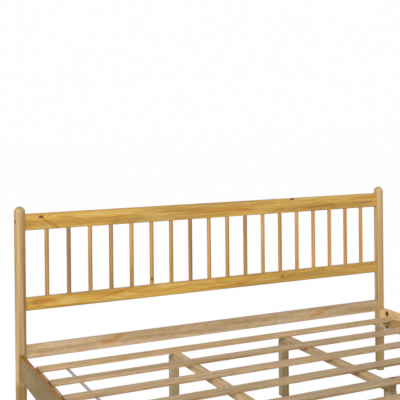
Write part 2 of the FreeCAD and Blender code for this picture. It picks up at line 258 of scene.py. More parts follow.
def pine(name, run, early, late, pith, seed, box=None, ring_width=0.0045, knots=(),
         flames=(), flame_tint=None, pales=(), bores=(), figure=0.75, wander=0.012,
         band=26.0, streaky=1.0, mottle=0.0, edge=EDGE_SHADE, upper_face_shade=None, painted_shade_end=None,
         painted_shade_face=None, roughness=0.34, coat=0.18):
    """Sawn and lacquered pine, its growth rings worked out in three dimensions.

    run is the axis of the grain. pith is the log's heart, beside the piece, in
    metres along the two other axes. knots are (along, first, second, radius) in
    the same order: the grain flows round each of them. flames are (along,
    second, length, width, lean): tongues of wood in flame_tint where the saw ran
    along the rings. pales are patches of paler sapwood, given as flames are.
    bores are (along, second, radius, skin) holes whose walls get painted shade,
    where skin is the first axis' place of the face they stop short of.
    box is the piece's lowest and highest corner, for its long edges, and edge
    their tint: painted shade where it is darker, rubbed wear where it is lighter.
    figure is the strength of the late wood, band the broad bands' changes per
    metre across the grain, streaky the strength of the fine lines and mottle that
    of soft cloudy blotches. upper_face_shade is painted shade on the upper face,
    and painted_shade_end, (start, end, tint), painted shade on the stretch of the
    piece that lies before start. painted_shade_face, (axis, tint), is painted
    shade on the face towards that axis' low end, and keeps painted_shade_end to it.
    """
    finish, shader = new_finish(name)
    tree = finish.node_tree
    place = object_place(tree)
    axes = place.parts()
    main = "XYZ".index(run)
    crosswise = [index for index in range(3) if index != main]
    along, first, second = [axes[index] for index in (main, *crosswise)]

    def with_grain(scales, shift=0.0):
        """Position at (along, across) scales, for noise that runs with the grain."""
        return joined(*[axes[index] * scales[index != main] + shift for index in range(3)])

    # The heart of the log wanders slowly along the piece.
    drift_one = tiny_noise(joined(along * HEART_DRIFT + seed, seed, 0.3), 1.0, 1.0)
    drift_two = tiny_noise(joined(along * HEART_DRIFT - seed, 5.1, seed), 1.0, 1.0)
    off_one = first - pith[0] + (drift_one - 0.5) * (wander * 4)
    off_two = second - pith[1] + (drift_two - 0.5) * (wander * 4)
    radius = (off_one * off_one + off_two * off_two) ** 0.5

    # Knots push the rings aside. Darker tongues and pale sapwood are torn along
    # the grain.
    knot_wood = None
    for knot in knots:
        push, core = round_knot(place, along, first, second, knot)
        radius = radius + push
        knot_wood = strongest(knot_wood, core)
    if flames or pales:
        torn = (tiny_noise(with_grain(TORN_TONGUES), 1.0, 3.0) - 0.5) * TONGUE_TEAR
    stain = None
    for flame in flames:
        blob = soft_patch(along, second, flame)
        radius = radius + blob * (ring_width * FLAME_PUSH)
        stain = strongest(stain, (blob + torn * blob).ramp(0.30, 0.62))
    sap = None
    for pale in pales:
        blob = soft_patch(along, second, pale)
        sap = strongest(sap, (blob + torn * 0.12).ramp(0.25, 0.75))

    # Each ring darkens slowly towards its late wood and ends sharply.
    lengthwise, sideways = UNEVEN_RINGS
    uneven = joined(along * lengthwise, first * sideways, second * sideways)
    uneven = tiny_noise(uneven, 1.0, 3.0) * RING_UNEVENNESS
    rings = (radius / ring_width + uneven + seed).math("FRACT")
    late_share = rings.ramp(*LATE_WOOD) * rings.ramp(*RING_END, 1.0, 0.0)

    fibres = tiny_noise(with_grain(FIBRES), 1.0, 3.0, 0.6)
    tone = tiny_noise(with_grain((BAND_ALONG, band), seed), 1.0, 2.0, 0.5)
    lines = tiny_noise(with_grain(FINE_LINES, -seed), 1.0, 2.0, 0.6)
    streaks = tiny_noise(with_grain(RESIN_STREAKS), 1.0, 1.0).ramp(0.70, 0.78)

    strength = figure * 0.55 + tone * (figure * 0.45)
    wood = (late_share * strength).blend(early, late)
    wood = wood.times_colour(tone.ramp(0.28, 0.72).blend(*BAND_TINTS), 1.0)
    wood = wood.times_colour(lines.ramp(0.32, 0.68).blend(*LINE_TINTS), streaky)
    wood = wood.times_colour(fibres.ramp(0.3, 0.7).blend(*FIBRE_TINTS), streaky)
    wood = wood.times_colour(RESIN, streaks * 0.6)
    if sap is not None:
        wood = wood.times_colour(SAPWOOD, sap)
    if stain is not None:
        wood = wood.times_colour(flame_tint, stain * 0.9)
    if mottle > 0:
        cloud = tiny_noise(with_grain(CLOUDS, seed), 1.0, 4.0, 0.65).ramp(0.34, 0.66)
        wood = wood.times_colour(cloud.blend(*CLOUD_TINTS), mottle)
    if knot_wood is not None:
        heart = tiny_noise(place, KNOT_GRAIN, 3.0).ramp(0.35, 0.65)
        wood = knot_wood.blend(wood, heart.blend(*KNOT_COLOURS))

    # Sawn ends drink more lacquer and turn darker.
    normal = add_node(tree, "ShaderNodeNewGeometry", output=1).parts()
    wood = wood.times_colour(SAWN_END, abs(normal[main]).ramp(0.8, 0.95))
    # Painted shade on the upper face.
    if upper_face_shade is not None:
        wood = wood.times_colour(upper_face_shade, normal[2].ramp(0.4, 0.9))
    # Painted shade on the face towards an axis' low end.
    on_painted_shade_face = 1.0
    if painted_shade_face is not None:
        axis, tint = painted_shade_face
        on_painted_shade_face = normal["XYZ".index(axis)].ramp(-0.9, -0.4, 1.0, 0.0)
        wood = wood.times_colour(tint, on_painted_shade_face)
    # Painted shade on the stretch of the piece before start.
    if painted_shade_end is not None:
        start, end, tint = painted_shade_end
        wood = wood.times_colour(tint, along.ramp(start, end, 1.0, 0.0) * on_painted_shade_face)
    # Painted shade on the walls of the holes.
    for bore in bores:
        wood = wood.times_colour(POCKET_SHADE, inside_bore(along, first, second, bore))
    # The long edges: rubbed wear where edge is lighter, painted shade where it is darker.
    if box is not None:
        wood = wood.times_colour(edge, edge_wear_and_shade(place, axes, crosswise, box))

    tree.links.new(wood.socket, shader.inputs["Base Color"])
    rough = late_share * -0.07 + fibres * 0.12 + roughness
    tree.links.new(rough.socket, shader.inputs["Roughness"])
    relief = fibres * 0.6 + late_share * 0.5
    bump = place.node("ShaderNodeBump", None, {"Strength": GRAIN_BUMP, "Distance": GRAIN_RELIEF,
                                               "Height": relief})
    tree.links.new(bump.socket, shader.inputs["Normal"])
    shader.inputs["Specular IOR Level"].default_value = BARE_SPECULAR + coat
    shader.inputs["Coat Weight"].default_value = coat
    shader.inputs["Coat Roughness"].default_value = COAT_ROUGHNESS
    return finish


def dress(name, finish):
    """Give a construction piece its finish."""
    for slot in nodes[name].material_slots:
        slot.material = finish


def middle_of(name):
    """Middle of a construction piece."""
    low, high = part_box(name)
    return (low + high) / 2


def shaded(colour, share):
    """The same colour, lighter or darker by a share."""
    return tuple(channel * share for channel in colour)


POST_EARLY = (0.600, 0.430, 0.205)
POST_LATE = (0.415, 0.265, 0.108)
POST_PITH = (0.030, -0.012)
# Painted shade at each post's foot: full below the first height, none above the second.
POST_FOOT_SHADE = (0.200, 0.245)
HIGH_KNOT = {"height": 0.948, "left": 0.022, "front": 0.012, "radius": 0.004}

for name, seed, shade, foot_shade in (
        # piece, seed, shade, and the tint of the painted shade at the foot
        ("head_post_left", 1.3, 0.81, (0.65, 0.60, 0.38)),
        ("head_post_right", 4.7, 0.94, (0.71, 0.72, 0.62)),
        ("foot_post_left", 7.9, 0.92, (0.80, 0.77, 0.66)),
        ("foot_post_right", 2.2, 0.95, (0.80, 0.77, 0.66))):
    middle = middle_of(name)
    knots = ()
    if name == "head_post_left":
        knots = ((HIGH_KNOT["height"], middle.x - HIGH_KNOT["left"],
                  middle.y - HIGH_KNOT["front"], HIGH_KNOT["radius"]),)
    dress(name, pine("pine_" + name, "Z", shaded(POST_EARLY, shade), shaded(POST_LATE, shade),
                     (middle.x + POST_PITH[0], middle.y + POST_PITH[1]), seed,
                     ring_width=0.0060, knots=knots, figure=0.55, band=60.0,
                     painted_shade_end=(*POST_FOOT_SHADE, foot_shade)))


# ---- headboard and foot rails ----------------------------------------------
# Planed pine boards tenoned into the posts. The top and middle rails carry the
# spindles and show the liveliest grain; the low rail is a paler, mottled board.

GOLDEN = (0.94, 0.76, 0.38)
BROWN = (0.84, 0.66, 0.40)
# Painted shade for the cross rails' upper faces.
TOP_FACE_SHADE = (0.66, 0.56, 0.42)
BOARD_PITH_DEPTH = 0.055

# Early wood, late wood, tint of the flames, figure and mottle.
AMBER = ((0.595, 0.382, 0.078), (0.405, 0.198, 0.026), BROWN, 0.50, 0.2)
PALE = ((0.610, 0.475, 0.305), (0.490, 0.350, 0.195), GOLDEN, 0.28, 0.5)

# Knots are (along, height, radius); flames and pales as the pine takes them.
TOP_KNOTS = ((-0.903, 0.964, 0.0065), (0.430, 0.977, 0.0075))
TOP_FLAMES = (
    (-0.884, 0.948, 0.022, 0.0070, -0.80),
    (-0.846, 0.924, 0.034, 0.0100, -0.55),
    (-0.780, 0.955, 0.060, 0.0045, -0.12),
    (-0.560, 0.943, 0.170, 0.0035, 0.06),
    (-0.210, 0.950, 0.170, 0.0040, 0.00),
    (0.020, 0.944, 0.190, 0.0120, 0.02),
    (0.130, 0.938, 0.080, 0.0090, -0.04),
    (0.230, 0.962, 0.120, 0.0035, 0.00),
    (0.600, 0.930, 0.120, 0.0090, 0.06),
    (0.880, 0.958, 0.110, 0.0060, 0.03),
    (0.900, 0.935, 0.060, 0.0060, 0.03),
)
TOP_PALES = (
    (-0.890, 0.925, 0.060, 0.0140, 0.00),
    (-0.560, 0.962, 0.260, 0.0090, 0.00),
    (-0.330, 0.930, 0.170, 0.0300, 0.06),
    (0.020, 0.968, 0.260, 0.0080, 0.00),
    (0.560, 0.972, 0.330, 0.0060, 0.00),
)
MID_KNOTS = ((0.364, 0.577, 0.0038),)
MID_FLAMES = (
    (-0.900, 0.580, 0.060, 0.0140, 0.05),
    (-0.545, 0.586, 0.090, 0.0060, 0.18),
    (0.395, 0.572, 0.060, 0.0070, 0.10),
    (0.060, 0.560, 0.160, 0.0050, 0.02),
)
MID_PALES = (
    (-0.780, 0.575, 0.060, 0.0200, 0.05),
    (-0.550, 0.560, 0.140, 0.0120, 0.10),
    (-0.250, 0.590, 0.200, 0.0100, 0.02),
    (0.250, 0.565, 0.120, 0.0120, 0.05),
)
LOW_FLAMES = (
    (-0.955, 0.381, 0.026, 0.0060, 0.00),
    (-0.905, 0.350, 0.040, 0.0050, -0.10),
    (-0.585, 0.360, 0.042, 0.0130, 0.10),
    (-0.545, 0.372, 0.050, 0.0130, 0.52),
    (0.560, 0.350, 0.050, 0.0060, 0.05),
    (0.600, 0.366, 0.075, 0.0130, 0.24),
)

for name, board, pith_drop, seed, knots, flames, pales in (
        ("top_rail", AMBER, 0.012, 3.1, TOP_KNOTS, TOP_FLAMES, TOP_PALES),
        ("mid_rail", AMBER, -0.015, 8.4, MID_KNOTS, MID_FLAMES, MID_PALES),
        ("low_rail", PALE, 0.110, 5.5, (), LOW_FLAMES, ()),
        ("foot_rail", AMBER, 0.020, 6.6, (), (), ())):
    early, late, flame_tint, figure, mottle = board
    low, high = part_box(name)
    middle = middle_of(name)
    front_knots = [(along, low.y, height, radius) for along, height, radius in knots]
    dress(name, pine("pine_" + name, "X", early, late,
                     (middle.y + BOARD_PITH_DEPTH, middle.z - pith_drop), seed,
                     box=(low, high), ring_width=0.006, knots=front_knots, flames=flames,
                     flame_tint=flame_tint, pales=pales, wander=0.016, band=34.0,
                     figure=figure, upper_face_shade=TOP_FACE_SHADE, mottle=mottle, streaky=0.6))


# ---- spindles ----------------------------------------------------------------
# Eighteen plain dowels, each cut from another stick, glued into blind holes in
# the top and middle rails. Some sticks are darker heartwood.

SPINDLE_EARLY = (0.640, 0.380, 0.130)
SPINDLE_LATE = (0.420, 0.205, 0.058)
SPINDLE_PITH_REACH = 0.02
LEFTMOST_SHADE = 0.70
SHADE_STEP = 0.022
SHADE_SWING = 0.05
HEARTWOOD_SHADE = 0.80
HEARTWOOD_SPINDLES = (2, 4, 8, 11)
KNOTTED_SPINDLE = 6
SPINDLE_KNOT = {"height": 0.631, "left": 0.003, "front": 0.009, "radius": 0.0048}

spindle_count = sum(1 for name in nodes if name.startswith("spindle_"))
for index in range(1, spindle_count + 1):
    name = "spindle_%02d" % index
    middle = middle_of(name)
    # Painted shade: the spindles darken steadily towards the left; the sine swing varies each
    # stick's tone.
    shade = LEFTMOST_SHADE + SHADE_STEP * index + SHADE_SWING * math.sin(index * 2.3)
    if index in HEARTWOOD_SPINDLES:
        shade *= HEARTWOOD_SHADE
    knots = ()
    if index == KNOTTED_SPINDLE:
        knots = ((SPINDLE_KNOT["height"], middle.x - SPINDLE_KNOT["left"],
                  middle.y - SPINDLE_KNOT["front"], SPINDLE_KNOT["radius"]),)
    pith = (middle.x + SPINDLE_PITH_REACH * math.cos(index),
            middle.y + SPINDLE_PITH_REACH * math.sin(index * 1.7))
    dress(name, pine("pine_" + name, "Z", shaded(SPINDLE_EARLY, shade),
                     shaded(SPINDLE_LATE, shade), pith, index * 0.77, ring_width=0.0034,
                     knots=knots, figure=0.65, wander=0.006, band=48.0))


# ---- side rails ------------------------------------------------------------------
# Two long boards bolted end-on into the posts. The left one's outer face is darker
# and greyer and its top edge browner, both painted shade; the right one is a lighter
# copy of the same wood, painted light. Round pockets on the inside take the nuts,
# and their walls get painted shade.

POCKET_DISTANCE = 0.062
POCKET_RADIUS = 0.013
BOLT_EDGE_DISTANCE = 0.020

RAIL_EARLY = (0.700, 0.540, 0.300)
RAIL_LATE = (0.520, 0.365, 0.180)
RAIL_PITH = (0.045, -0.020)
# Painted shade on the left rail's outside: a browner upper face, a darker and greyer outer face,
# and more of it on the outer face further from the head post.
BROWN_TOP_SHADE = (0.418, 0.286, 0.052)
SHADY_SIDE = ("X", (0.400, 0.357, 0.270))
OLIVE_SHADE_REACH = (0.55, 0.97, (0.74, 0.77, 0.46))

for name, shade, upper_face_shade, outer_face, outer_shade_reach, mottle, seed in (
        ("side_rail_left", 1.0, BROWN_TOP_SHADE, SHADY_SIDE, OLIVE_SHADE_REACH, 0.8, 9.2),
        # The right rail is a lighter copy of the same wood: painted light.
        ("side_rail_right", 1.16, None, None, None, 0.4, 3.9)):
    low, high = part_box(name)
    middle = middle_of(name)
    outside = low.x if middle.x < 0 else high.x
    pockets = [(end, height, POCKET_RADIUS, outside)
               for end in (low.y + POCKET_DISTANCE, high.y - POCKET_DISTANCE)
               for height in (low.z + BOLT_EDGE_DISTANCE, high.z - BOLT_EDGE_DISTANCE)]
    dress(name, pine("pine_" + name, "Y", shaded(RAIL_EARLY, shade), shaded(RAIL_LATE, shade),
                     (middle.x + RAIL_PITH[0], middle.z + RAIL_PITH[1]), seed,
                     box=(low, high), bores=pockets, ring_width=0.007, figure=0.6,
                     band=40.0, upper_face_shade=upper_face_shade, painted_shade_face=outer_face, painted_shade_end=outer_shade_reach,
                     mottle=mottle, roughness=0.48, coat=0.03))


# ---- slatted bases ---------------------------------------------------------------
# Each base is five flat slats screwed down on two beams, with a square leg under each
# beam end, and its slats' outer ends lie on ledgers screwed along the side rails. All
# planed pine, paler and less glossy than the headboard.

THIN_LACQUER = {"roughness": 0.44, "coat": 0.05}
RUBBED = (1.14, 1.12, 1.10)

SLAT_EARLY = (0.495, 0.374, 0.222)
SLAT_LATE = (0.355, 0.245, 0.125)
SLAT_SHADES = (1.19, 0.99, 0.98, 0.89, 0.85, 0.94, 1.00, 0.93, 1.03, 0.96)
SLAT_PITH_SWING = 0.05
SLAT_PITH_DEPTH = 0.045
KNOTTED_SLAT = 5
SLAT_KNOT = {"along": 0.332, "across": 0.107, "radius": 0.0095}

slat_count = sum(1 for name in nodes if name.startswith("slat_") and name[5:].isdigit())
for index in range(1, slat_count + 1):
    name = "slat_%02d" % index
    low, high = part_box(name)
    middle = middle_of(name)
    shade = SLAT_SHADES[(index - 1) % len(SLAT_SHADES)]
    knots = ()
    if index == KNOTTED_SLAT:
        knots = ((SLAT_KNOT["along"], SLAT_KNOT["across"], high.z, SLAT_KNOT["radius"]),)
    pith = (middle.y + SLAT_PITH_SWING * math.cos(index * 1.9), middle.z - SLAT_PITH_DEPTH)
    dress(name, pine("pine_" + name, "X", shaded(SLAT_EARLY, shade), shaded(SLAT_LATE, shade),
                     pith, index * 1.37, box=(low, high), ring_width=0.006, figure=0.70,
                     knots=knots, band=90.0, edge=RUBBED, mottle=0.5, **THIN_LACQUER))

BEAM_EARLY = (0.495, 0.376, 0.212)
BEAM_LATE = (0.375, 0.258, 0.130)
BEAM_PITH = (0.030, -0.040)
LEG_EARLY = (0.490, 0.430, 0.300)
LEG_LATE = (0.345, 0.275, 0.168)
LEG_PITH = (0.035, 0.030)

for base in ("head_base", "foot_base"):
    # Painted shade on the legs' front faces, deeper on the right legs.
    for side, shade, leg_front_shade in (
            ("left", 1.02, (1.00, 0.97, 0.90)),
            ("right", 0.90, (0.81, 0.74, 0.60))):
        name = base + "_beam_" + side
        low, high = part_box(name)
        middle = middle_of(name)
        dress(name, pine("pine_" + name, "Y", shaded(BEAM_EARLY, shade),
                         shaded(BEAM_LATE, shade),
                         (middle.x + BEAM_PITH[0], middle.z + BEAM_PITH[1]),
                         len(name) * 0.61 + middle.x, box=(low, high), figure=0.25,
                         band=70.0, edge=RUBBED, mottle=0.6, streaky=0.7, **THIN_LACQUER))
        for spot in ("outer", "middle"):
            name = base + "_leg_" + spot + "_" + side
            low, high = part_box(name)
            middle = middle_of(name)
            dress(name, pine("pine_" + name, "Z", shaded(LEG_EARLY, shade),
                             shaded(LEG_LATE, shade),
                             (middle.x + LEG_PITH[0], middle.y + LEG_PITH[1]),
                             len(name) * 0.83 + middle.y, box=(low, high), figure=0.75,
                             band=70.0, painted_shade_face=("Y", leg_front_shade), **THIN_LACQUER))

LEDGER_EARLY = (0.470, 0.320, 0.130)
LEDGER_LATE = (0.330, 0.200, 0.072)
LEDGER_PITH = (0.040, 0.030)

for name in ("ledger_left", "ledger_right"):
    low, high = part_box(name)
    middle = middle_of(name)
    dress(name, pine("pine_" + name, "Y", LEDGER_EARLY, LEDGER_LATE,
                     (middle.x + LEDGER_PITH[0], middle.z + LEDGER_PITH[1]),
                     middle.x * 2.7, box=(low, high), figure=0.6, **THIN_LACQUER))


# ---- webbing straps --------------------------------------------------------------
# Flat woven webbing tacked along the undersides of the slats, one strap near each
# end of them, to hold the slats at their spacing. Undyed flax and cotton yarn.

YARN_PITCH = 0.0020
PICK_PITCH = 0.0026
FUZZ = (900.0, 260.0)
YARN_COLOURS = ((0.455, 0.430, 0.390), (0.580, 0.555, 0.510))
GAP_SHADE_TINTS = ((0.62, 0.60, 0.58), (1.0, 1.0, 1.0))
FUZZ_TINTS = ((0.84, 0.83, 0.82), (1.08, 1.08, 1.08))
SELVEDGE_TINT = (0.78, 0.76, 0.74)
SELVEDGE = (0.0022, 0.0008)
WEAVE_RELIEF = 0.0005

for name in ("slat_strap_left", "slat_strap_right"):
    low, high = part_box(name)
    middle = middle_of(name)
    half_width = (high.x - low.x) / 2
    finish, shader = new_finish("webbing_" + name)
    tree = finish.node_tree
    place = object_place(tree)
    across, along, rise = place.parts()
    yarn = (across * (math.pi / YARN_PITCH)).math("SINE")
    pick = (along * (math.pi / PICK_PITCH)).math("SINE")
    over = (yarn * pick).ramp(-0.6, 0.6)
    hollow = (yarn * yarn) * (pick * pick)
    fuzz = tiny_noise(joined(across * FUZZ[0], along * FUZZ[1], rise * FUZZ[0]), 1.0, 3.0, 0.6)
    cloth = over.blend(*YARN_COLOURS)
    # Painted shade in the gaps between the yarns.
    cloth = cloth.times_colour(hollow.ramp(0.0, 0.5).blend(*GAP_SHADE_TINTS), 1.0)
    cloth = cloth.times_colour(fuzz.ramp(0.3, 0.7).blend(*FUZZ_TINTS), 1.0)
    selvedge = abs(across - middle.x).ramp(half_width - SELVEDGE[0], half_width - SELVEDGE[1])
    cloth = cloth.times_colour(SELVEDGE_TINT, selvedge)
    tree.links.new(cloth.socket, shader.inputs["Base Color"])
    tree.links.new((fuzz * 0.15 + 0.78).socket, shader.inputs["Roughness"])
    weave = place.node("ShaderNodeBump", None, {"Strength": 0.5, "Distance": WEAVE_RELIEF,
                                                "Height": over * 0.6 + hollow + fuzz * 0.3})
    tree.links.new(weave.socket, shader.inputs["Normal"])
    dress(name, finish)


# ---- rail bolts and nuts ---------------------------------------------------------
# Barrel-headed steel bolts run through each post into the end of a side rail, where
# a washer and a nut in a round pocket hold them. All turned from steel; the bolts are
# plated with yellow zinc and the nuts with a browner one.

FASTENER_SIDES = 24


def edge_reach(shape, angle):
    """Distance from the axis to a unit outline's edge: round, hexagon or cross."""
    if shape == "hexagon":
        return math.cos(math.pi / 6) / math.cos(angle % (math.pi / 3) - math.pi / 6)
    if shape == "cross":
        lean = (angle + math.pi / 4) % (math.pi / 2) - math.pi / 4
        arm = math.tan(math.pi / 12) / max(abs(math.sin(lean)), 0.001)
        return min(1.0 / math.cos(lean), arm)
    return 1.0


def turned(name, outline, closed=False):
    """Mesh from (shape, size, height) rings round Z, from its lower end to its upper end."""
    form = bmesh.new()
    rings = []
    for shape, size, height in outline:
        if size == 0:
            rings.append([form.verts.new((0, 0, height))] * FASTENER_SIDES)
            continue
        ring = []
        for step in range(FASTENER_SIDES):
            angle = 2 * math.pi * step / FASTENER_SIDES
            reach = size * edge_reach(shape, angle)
            ring.append(form.verts.new((reach * math.cos(angle), reach * math.sin(angle), height)))
        rings.append(ring)
    following = rings[1:] + rings[:1] if closed else rings[1:]
    for lower, upper in zip(rings, following):
        for step in range(FASTENER_SIDES):
            after = (step + 1) % FASTENER_SIDES
            corners = (lower[step], lower[after], upper[after], upper[step])
            form.faces.new(dict.fromkeys(corners))
    mesh = bpy.data.meshes.new(name)
    form.to_mesh(mesh)
    form.free()
    return mesh


def threads(root, crest, pitch, start, end):
    """Rings of a screw thread, one crest for each pitch, from start up to end."""
    rings = []
    for turn in range(int((end - start) / pitch)):
        rings.append(("round", root, start + turn * pitch))
        rings.append(("round", crest, start + (turn + 0.5) * pitch))
    rings.append(("round", root, end))
    return rings


def fastener_tree():
    """Geometry Nodes: one fastener at every point, facing "aim", each turned by chance."""
    tree = bpy.data.node_groups.new("set_out_fasteners", "GeometryNodeTree")
    sockets = {}
    for label, kind in (("Spots", "NodeSocketGeometry"), ("Fastener", "NodeSocketObject"),
                        ("Finish", "NodeSocketMaterial"), ("Turn Seed", "NodeSocketInt"),
                        ("Widest Turn", "NodeSocketFloat")):
        sockets[label] = tree.interface.new_socket(label, in_out="INPUT", socket_type=kind)
    tree.interface.new_socket("Fasteners", in_out="OUTPUT", socket_type="NodeSocketGeometry")
    given = tree.nodes.new("NodeGroupInput")
    wires = {label: Wire(given.outputs[label]) for label in sockets}
    sample = add_node(tree, "GeometryNodeObjectInfo", None, {"Object": wires["Fastener"]})
    shape = Wire(sample.socket.node.outputs["Geometry"])
    turn = add_node(tree, "FunctionNodeRandomValue", {"data_type": "FLOAT"},
                    {2: 0.0, 3: wires["Widest Turn"], "Seed": wires["Turn Seed"]}, output=1)
    spin = add_node(tree, "FunctionNodeAxisAngleToRotation", None,
                    {"Axis": (0.0, 0.0, 1.0), "Angle": turn})
    aim = add_node(tree, "GeometryNodeInputNamedAttribute", {"data_type": "FLOAT_VECTOR"},
                   {"Name": "aim"})
    facing = add_node(tree, "FunctionNodeAlignRotationToVector", {"axis": "Z"},
                      {"Rotation": spin, "Vector": aim})
    copies = add_node(tree, "GeometryNodeInstanceOnPoints", None,
                      {"Points": wires["Spots"], "Instance": shape, "Rotation": facing})
    solid = add_node(tree, "GeometryNodeRealizeInstances", None, {0: copies})
    dressed = add_node(tree, "GeometryNodeSetMaterial", None,
                       {"Geometry": solid, "Material": wires["Finish"]})
    result = tree.nodes.new("NodeGroupOutput")
    tree.links.new(dressed.socket, result.inputs[0])
    return tree, {label: socket.identifier for label, socket in sockets.items()}


fastener_nodes, fastener_inputs = fastener_tree()


def set_out(node, mesh, spots, finish, seed):
    """Replace a node of fasteners by copies of one mesh at (place, aim) spots."""
    sample = bpy.data.objects.new(node + "_sample", mesh)
    points = bpy.data.meshes.new(node + "_spots")
    points.from_pydata([tuple(place) for place, _ in spots], [], [])
    aims = points.attributes.new("aim", "FLOAT_VECTOR", "POINT")
    for index, (_, aim) in enumerate(spots):
        aims.data[index].vector = aim
    piece = bpy.data.objects.new(node + "_set", points)
    bpy.context.scene.collection.objects.link(piece)
    modifier = piece.modifiers.new("set_out", "NODES")
    modifier.node_group = fastener_nodes
    modifier[fastener_inputs["Fastener"]] = sample
    modifier[fastener_inputs["Finish"]] = finish
    modifier[fastener_inputs["Turn Seed"]] = seed
    modifier[fastener_inputs["Widest Turn"]] = 2 * math.pi
    bpy.context.view_layer.update()
    evaluated = piece.evaluated_get(bpy.context.evaluated_depsgraph_get())
    made = bpy.data.meshes.new_from_object(evaluated)
    piece.modifiers.clear()
    piece.data = made
    bpy.data.objects.remove(sample)
    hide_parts(node)
    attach(piece, "root")


PLATE_CLOUDS = 140.0
PLATE_GRIT = 2600.0
GRIT_TINTS = ((0.86, 0.85, 0.84), (1.05, 1.05, 1.05))
GRIT_RELIEF = 0.0001
PLATE_ROUGHNESS = 0.34


def plated_steel(name, bright, dull):
    """Plated steel with a cloudy skin, slightly uneven, and fine grit."""
    finish, shader = new_finish(name)
    tree = finish.node_tree
    place = object_place(tree)
    cloud = tiny_noise(place, PLATE_CLOUDS, 3.0, 0.6)
    grit = tiny_noise(place, PLATE_GRIT, 2.0, 0.6)
    skin = cloud.ramp(0.3, 0.7).blend(dull, bright)
    skin = skin.times_colour(grit.ramp(0.3, 0.7).blend(*GRIT_TINTS), 1.0)
    tree.links.new(skin.socket, shader.inputs["Base Color"])
    rough = cloud * 0.16 + grit * 0.10 + PLATE_ROUGHNESS
    tree.links.new(rough.socket, shader.inputs["Roughness"])
    bump = place.node("ShaderNodeBump", None, {"Strength": 0.15, "Distance": GRIT_RELIEF,
                                               "Height": grit})
    tree.links.new(bump.socket, shader.inputs["Normal"])
    shader.inputs["Metallic"].default_value = 1.0
    return finish


BOLT_RADIUS = 0.0040
BOLT_LENGTH = 0.1034
BOLT_TIP_BEVEL = 0.0008
THREAD_PITCH = 0.00125
THREAD_ROOT = BOLT_RADIUS * 0.86
THREAD_END = -0.0780
SHANK_START = -0.0775
BARREL_RADIUS = 0.0085
BARREL_HEIGHT = 0.0050
BARREL_LOWER_BEVEL = 0.0006
BARREL_UPPER_BEVEL = 0.0008
SOCKET_CORNER = 0.0030
SOCKET_DEPTH = 0.0030
SOCKET_BEVEL = 0.0004
SOCKET_LEAD = 0.0003

bolt_outline = [("round", 0, -BOLT_LENGTH), ("round", BOLT_RADIUS * 0.75, -BOLT_LENGTH)]
bolt_outline += threads(THREAD_ROOT, BOLT_RADIUS, THREAD_PITCH,
                        -BOLT_LENGTH + BOLT_TIP_BEVEL, THREAD_END)
bolt_outline += [
    ("round", BOLT_RADIUS, SHANK_START),
    ("round", BOLT_RADIUS, -BARREL_HEIGHT),
    ("round", BARREL_RADIUS - BARREL_LOWER_BEVEL, -BARREL_HEIGHT),
    ("round", BARREL_RADIUS, -BARREL_HEIGHT + BARREL_LOWER_BEVEL),
    ("round", BARREL_RADIUS, -BARREL_UPPER_BEVEL),
    ("round", BARREL_RADIUS - BARREL_UPPER_BEVEL, 0.0),
    ("round", SOCKET_CORNER + SOCKET_BEVEL, 0.0),
    ("hexagon", SOCKET_CORNER, -SOCKET_LEAD),
    ("hexagon", SOCKET_CORNER, -SOCKET_DEPTH),
    ("round", 0, -SOCKET_DEPTH - SOCKET_BEVEL),
]

NUT_CORNER = 0.0075
NUT_HEIGHT = 0.0065
NUT_BEVEL = 0.0008
WASHER_RADIUS = 0.0075
WASHER_HEIGHT = 0.0015
WASHER_PLAY = 0.0001
NUT_TOP = -WASHER_HEIGHT - NUT_HEIGHT

nut_outline = [
    ("round", BOLT_RADIUS, NUT_TOP),
    ("round", NUT_CORNER * 0.86, NUT_TOP),
    ("hexagon", NUT_CORNER, NUT_TOP + NUT_BEVEL),
    ("hexagon", NUT_CORNER, -WASHER_HEIGHT),
    ("round", WASHER_RADIUS, -WASHER_HEIGHT),
    ("round", WASHER_RADIUS, 0.0),
    ("round", BOLT_RADIUS + WASHER_PLAY, 0.0),
]

zinc = plated_steel("zinc_plate", (0.560, 0.440, 0.240), (0.360, 0.260, 0.120))
bronzed = plated_steel("browned_zinc", (0.300, 0.200, 0.105), (0.150, 0.090, 0.045))

for node, outline, finish, closed, half_height, seed in (
        ("rail_bolts", bolt_outline, zinc, False, BARREL_RADIUS, 3),
        ("rail_nuts", nut_outline, bronzed, True, WASHER_RADIUS, 5)):
    low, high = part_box(node)
    spots = []
    for rail in ("side_rail_left", "side_rail_right"):
        for height in (low.z + half_height, high.z - half_height):
            for end, heading in ((high.y, 1.0), (low.y, -1.0)):
                spots.append(((middle_of(rail).x, end, height), (0.0, heading, 0.0)))
    set_out(node, turned(node + "_form", outline, closed), spots, finish, seed)


# ---- wood screws and tacks -------------------------------------------------------
# Cross-headed wood screws, yellow plated: one in each slat over each beam, a row
# through each ledger and a long one down through each beam into its leg. Dome
# headed tacks hold the webbing.

def wood_screw(name, radius, head_radius, head_height, length):
    """Countersunk screw, its head's face at height 0 and its point below."""
    outline = [("round", 0, -length)]
    outline += threads(radius * 0.62, radius, radius * 0.85,
                       -length + radius * 1.6, -length * 0.42)
    outline += [
        ("round", radius * 0.72, -length * 0.40),
        ("round", radius * 0.78, -head_height),
        ("round", head_radius, -0.0003),
        ("round", head_radius * 0.96, 0.0),
        ("round", head_radius * 0.66, 0.0),
        ("cross", head_radius * 0.58, -0.0001),
        ("cross", head_radius * 0.34, -head_height * 0.7),
        ("round", 0, -head_height * 0.8),
    ]
    return turned(name, outline)


yellow_zinc = plated_steel("yellow_zinc", (0.340, 0.235, 0.105), (0.190, 0.120, 0.052))

